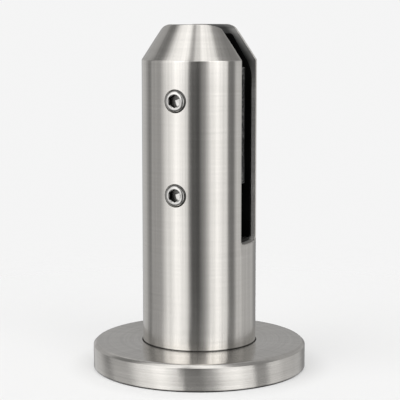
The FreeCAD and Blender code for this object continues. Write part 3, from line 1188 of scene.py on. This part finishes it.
@dataclass
class ClampSet:
    """The clamp plate with its pad and the pads that stay in the slot, in millimetres."""

    plate_half: float = 23.385
    tongue_half: float = 13.0
    tongue_foot: float = 71.5
    shoulder: float = 83.5
    plate_top: float = 133.0
    plate_depths: Pair = (-7.8, -5.0)
    plate_edge: float = 0.25
    plate_burr: float = 0.25
    seat_radius: float = 5.2
    seat_ends: Pair = (-9.0, -6.3)
    pad_inset: float = 0.1
    pad_depths: Pair = (-5.0, -4.0)
    pad_edge: float = 0.15
    pad_burr: float = 0.2
    fixed_corners: Sequence[Point] = ((21.45, 58.1, 0.8), (21.45, 131.6, 14.0), (12.1, 147.0, 1.5))
    fixed_steps: int = 8
    fixed_depths: Pair = (8.0, 6.2)
    fixed_edge: float = 0.3
    base_corners: Sequence[Pair] = ((21.5, 57.0), (21.5, 58.0))
    base_depths: Pair = (-6.2, 6.2)
    base_edge: float = 0.25

    def build(self, plate: Material, rubber: Material, worn: Material, dusty: Material) -> None:
        """Build the plate and the pads.

        Args:
            plate: The plate's finish.
            rubber: The fixed pad's finish.
            worn: The clamp pad's finish.
            dusty: The base pad's finish.
        """
        i = self.pad_inset
        steps = [(self.tongue_half, self.tongue_foot), (self.tongue_half, self.shoulder),
                 (self.plate_half, self.shoulder), (self.plate_half, self.plate_top)]
        inner = [*[(x - i, z + i) for x, z in steps[:3]], (self.plate_half - i, self.plate_top - i)]
        fixed = rounded(mirrored(self.fixed_corners), self.fixed_steps)
        cast = FlatSheet("clamp_plate", "clamp", "cast_plate_steel", mirrored(steps), *self.plate_depths,
                         self.plate_edge, self.plate_burr)
        casting = cast.cut(plate)
        carve(casting, self.seat_tool(plate), Carving.CUT)
        cast.dress(casting)
        clamp_pad = FlatSheet("clamp_pad", "clamp", "pad_rubber", mirrored(inner), *self.pad_depths,
                              self.pad_edge, self.pad_burr)
        fixed_pad = FlatSheet("fixed_pad", "post", "pad_rubber", fixed, *self.fixed_depths, self.fixed_edge)
        base_pad = FlatSheet("base_pad", "post", "pad_rubber", mirrored(self.base_corners), *self.base_depths,
                             self.base_edge, form="strip")
        for sheet, finish in ((clamp_pad, worn), (fixed_pad, rubber), (base_pad, dusty)):
            sheet.build(finish)

    def seat_tool(self, plate: Material) -> Object:
        """Build the cutter of the round seats that take the screws' tips.

        Args:
            plate: The plate's finish.

        Returns:
            The tool, a closed cylinder for each seat.
        """
        maker = MeshMaker()
        angles = spread(0.0, FULL_TURN, CIRCLE)
        for height in SCREW_HEIGHTS:
            maker.solid([[across(self.seat_radius, a, y, height) for a in angles] for y in self.seat_ends])
        return maker.object("seat_tool", (plate,))


@dataclass(frozen=True)
class Panel:
    """An upright panel of the studio: its azimuths from the camera in degrees, and its ends' brightness."""

    start: float
    end: float
    first: float
    last: float


WALL_PANELS = [Panel(*numbers) for numbers in (
    (-180, -170, 0.32, 0.33), (-160, -137, 0.60, 0.58), (-119, -113, 0.25, 0.28), (-110, -84, 0.46, 0.42),
    (-70, -55, 1.0, 1.15), (-50, -40, 1.45, 1.36), (-34, -23, 1.13, 0.82), (-20.5, -1, 0.13, 0.08),
    (3, 12, 0.22, 0.42), (24, 39, 1.14, 1.37), (46, 57.5, 1.08, 0.87), (60, 73, 0.22, 0.24),
    (79, 92, 0.7, 0.68), (100, 134, 0.57, 0.53), (147, 162, 0.30, 0.30), (172, 180, 0.31, 0.32),
)]
EYE_LEVEL_PANELS = [Panel(*numbers) for numbers in (
    (-180, -150, 0.42, 0.45), (-140, -128, 0.46, 0.40), (-118, -108, 0.27, 0.30), (-100, -82, 0.50, 0.50),
    (-72, -56, 1.25, 1.55), (-50, -34, 2.0, 2.0), (-30, -22, 1.8, 1.5), (-17, -2, 0.34, 0.18),
    (4, 13, 0.24, 0.48), (22, 40, 1.8, 2.0), (46, 57, 1.6, 1.1), (62, 72, 0.26, 0.28),
    (80, 96, 0.42, 0.50), (106, 134, 0.38, 0.40), (150, 180, 0.42, 0.42),
)]
CEILING_PANELS = [Panel(*numbers) for numbers in (
    (-180, -131, 0.5, 0.6), (-122, -100, 0.2, 0.22), (-82, -40, 1.25, 1.55), (-27, -21, 0.42, 0.42),
    (-10, 2, 0.9, 0.95), (8, 48, 1.35, 1.25), (60, 104, 0.40, 0.22), (114, 134, 0.42, 0.44),
    (144, 160, 0.40, 0.36), (170, 180, 0.36, 0.36),
)]


@dataclass(frozen=True)
class Studio:
    """Camera, floor and the light and dark panels that the steel mirrors."""

    azimuth: float = 24.3
    distance: float = 0.5968
    camera_height: float = 0.15476
    tilt: float = 7.69
    sensor: float = 36.0
    lens: float = 123.06
    shift: float = 0.00185
    clip_start: float = 0.01
    floor_height: float = -0.02
    floor_radii: Point = (0.5, 120.0, 380.0)
    backdrop: float = 0.91
    zenith: float = 1.4
    nadir: float = 0.06
    lean: float = 0.096
    lean_rise: Pair = (0.19, 0.27)
    eye_level_rise: Pair = (0.03, 0.12)
    ceiling_rise: Pair = (0.4, 0.64)
    zenith_rise: Pair = (0.93, 0.985)
    zenith_front: Pair = (-0.05, 0.1)
    nadir_rise: Pair = (0.45, 0.75)
    ripple: float = 0.3
    ripples: Grain = Grain((14.0, 0.8, 1.0))

    def camera(self) -> None:
        """Set up the camera at the photograph's viewing angle."""
        data = bpy.data.cameras.new("camera")
        data.sensor_width = self.sensor
        data.lens = self.lens
        data.shift_x = self.shift
        data.clip_start = self.clip_start
        made = bpy.data.objects.new("camera", data)
        turn = math.radians(self.azimuth)
        made.location = (self.distance * math.sin(turn), -self.distance * math.cos(turn), self.camera_height)
        made.rotation_euler = (math.radians(90.0 - self.tilt), 0.0, turn)
        bpy.context.scene.collection.objects.link(made)
        bpy.context.scene.camera = made

    def floor(self) -> None:
        """Lay the pale floor."""
        maker = MeshMaker()
        rows = lathed([(r, self.floor_height) for r in self.floor_radii], CIRCLE)
        maker.grid(rows)
        maker.face(rows[0][:-1])
        made = maker.object("floor", (FloorPaper(math.radians(self.azimuth)).material(),))

    def surround(self) -> None:
        """Build the world: a pale backdrop for the camera, soft panels by azimuth for the steel."""
        world = bpy.data.worlds.new("studio")
        bpy.context.scene.world = world
        world.use_nodes = True
        graph = Graph(world.node_tree)
        x, y, z = graph.axes(graph.node("ShaderNodeTexCoord", output="Generated"))
        turn = math.radians(self.azimuth)
        ahead = x * math.sin(turn) - y * math.cos(turn)
        right = x * math.cos(turn) + y * math.sin(turn)
        down = z * -1.0
        azimuth = graph.maths("ARCTAN2", right, ahead) - graph.fade(down, *self.lean_rise) * self.lean
        place = azimuth / FULL_TURN + 0.5
        low, middle, high = [
            graph.node("ShaderNodeValToRGB", {"stops": self._stops(row)}, {0: place})
            for row in (WALL_PANELS, EYE_LEVEL_PANELS, CEILING_PANELS)
        ]
        panels = graph.blend(graph.fade(z, *self.eye_level_rise), low, middle)
        panels = graph.blend(graph.fade(z, *self.ceiling_rise), panels, high)
        overhead = graph.fade(z, *self.zenith_rise) * graph.fade(ahead, *self.zenith_front)
        panels = graph.blend(overhead, panels, (self.zenith,) * 3)
        panels = graph.blend(graph.fade(down, *self.nadir_rise), panels, (self.nadir,) * 3)
        uneven = 1.0 + (graph.noise(graph.vector(azimuth, z), self.ripples) - MIDDLE) * self.ripple
        seen = graph.node("ShaderNodeLightPath", output="Is Camera Ray")
        colour = graph.blend(seen, graph.scaled(panels, uneven), (self.backdrop,) * 3)
        light = graph.node("ShaderNodeBackground", None, {"Color": colour})
        graph.node("ShaderNodeOutputWorld", None, {"Surface": light})

    @staticmethod
    def _stops(panels: Sequence[Panel]) -> list[Pair]:
        """Turn panels side by side into places and levels along a ramp."""
        ends = [end for p in panels for end in ((p.start, p.first), (p.end, p.last))]
        return [((azimuth + 180.0) / 360.0, level) for azimuth, level in ends]


def main() -> None:
    """Build every piece, then the studio."""
    logging.basicConfig(level=logging.INFO, format="%(message)s")
    bpy.context.scene.view_settings.view_transform = "Standard"
    turned = TurnedSteel().material()
    # A darker steel that paints shade in the threads, the tapped holes and the sockets.
    shade_steel = DULL_STEEL.material()
    screw = (ScrewSteel().material(), shade_steel, DEEP_STEEL.material())
    SpigotPost((turned, MilledSteel().material(), shade_steel)).build()
    CoverRing().build(turned)
    ClampSet().build(CastPlateSteel().material(), PadRubber().material(), WORN_RUBBER.material(),
                     DUSTY_RUBBER.material())
    for place, height in zip(("upper", "lower"), SCREW_HEIGHTS):
        ClampScrew(f"{place}_clamp_screw", f"{place}_screw", height, screw).build()
    studio = Studio()
    studio.camera()
    studio.floor()
    studio.surround()


if __name__ == "__main__":
    main()
